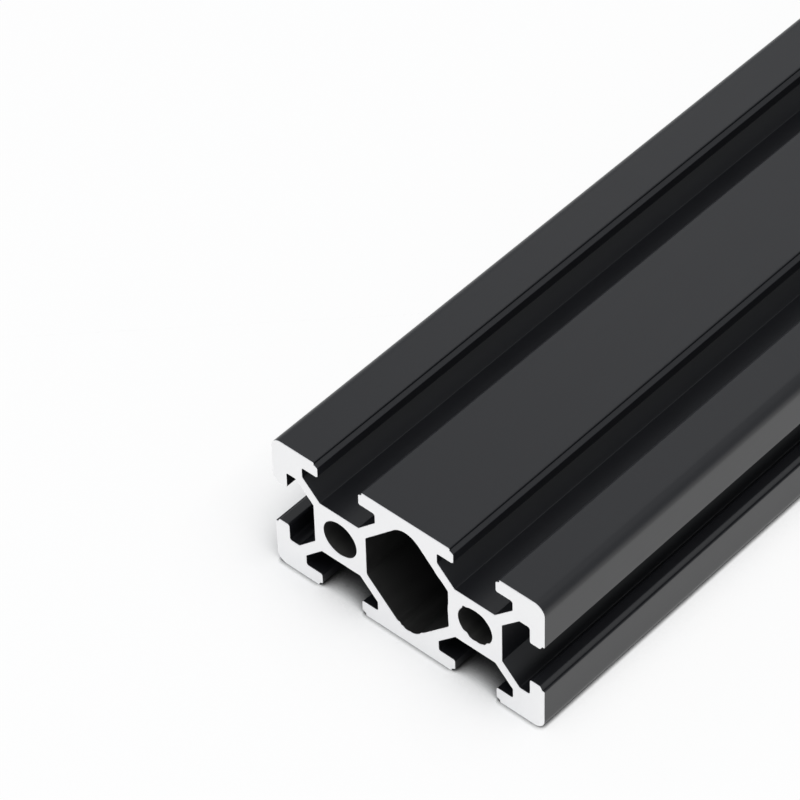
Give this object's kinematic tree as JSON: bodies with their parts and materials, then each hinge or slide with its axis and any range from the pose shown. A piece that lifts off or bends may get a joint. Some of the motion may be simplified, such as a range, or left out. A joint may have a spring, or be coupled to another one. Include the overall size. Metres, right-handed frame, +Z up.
{
  "type": "slotted aluminium extrusion profile",
  "caption": "Straight rectangular bar of black-anodised aluminium with undercut T-slots on every long face, screw bores, a central hollow and sawn bare ends, for bolted frames.",
  "frame": {"origin": "on the resting 40 mm face, under the middle of the bar", "axes": "+X across the 40 mm width, +Y along the length away from the end shown in the picture, +Z up"},
  "size_m": [0.04, 0.15, 0.02],
  "materials": {
    "black_anodised": "satin black anodised, with bare sawn ends"
  },
  "bodies": {
    "root": {"aluminium_profile": "black_anodised"}
  },
  "joints": []
}
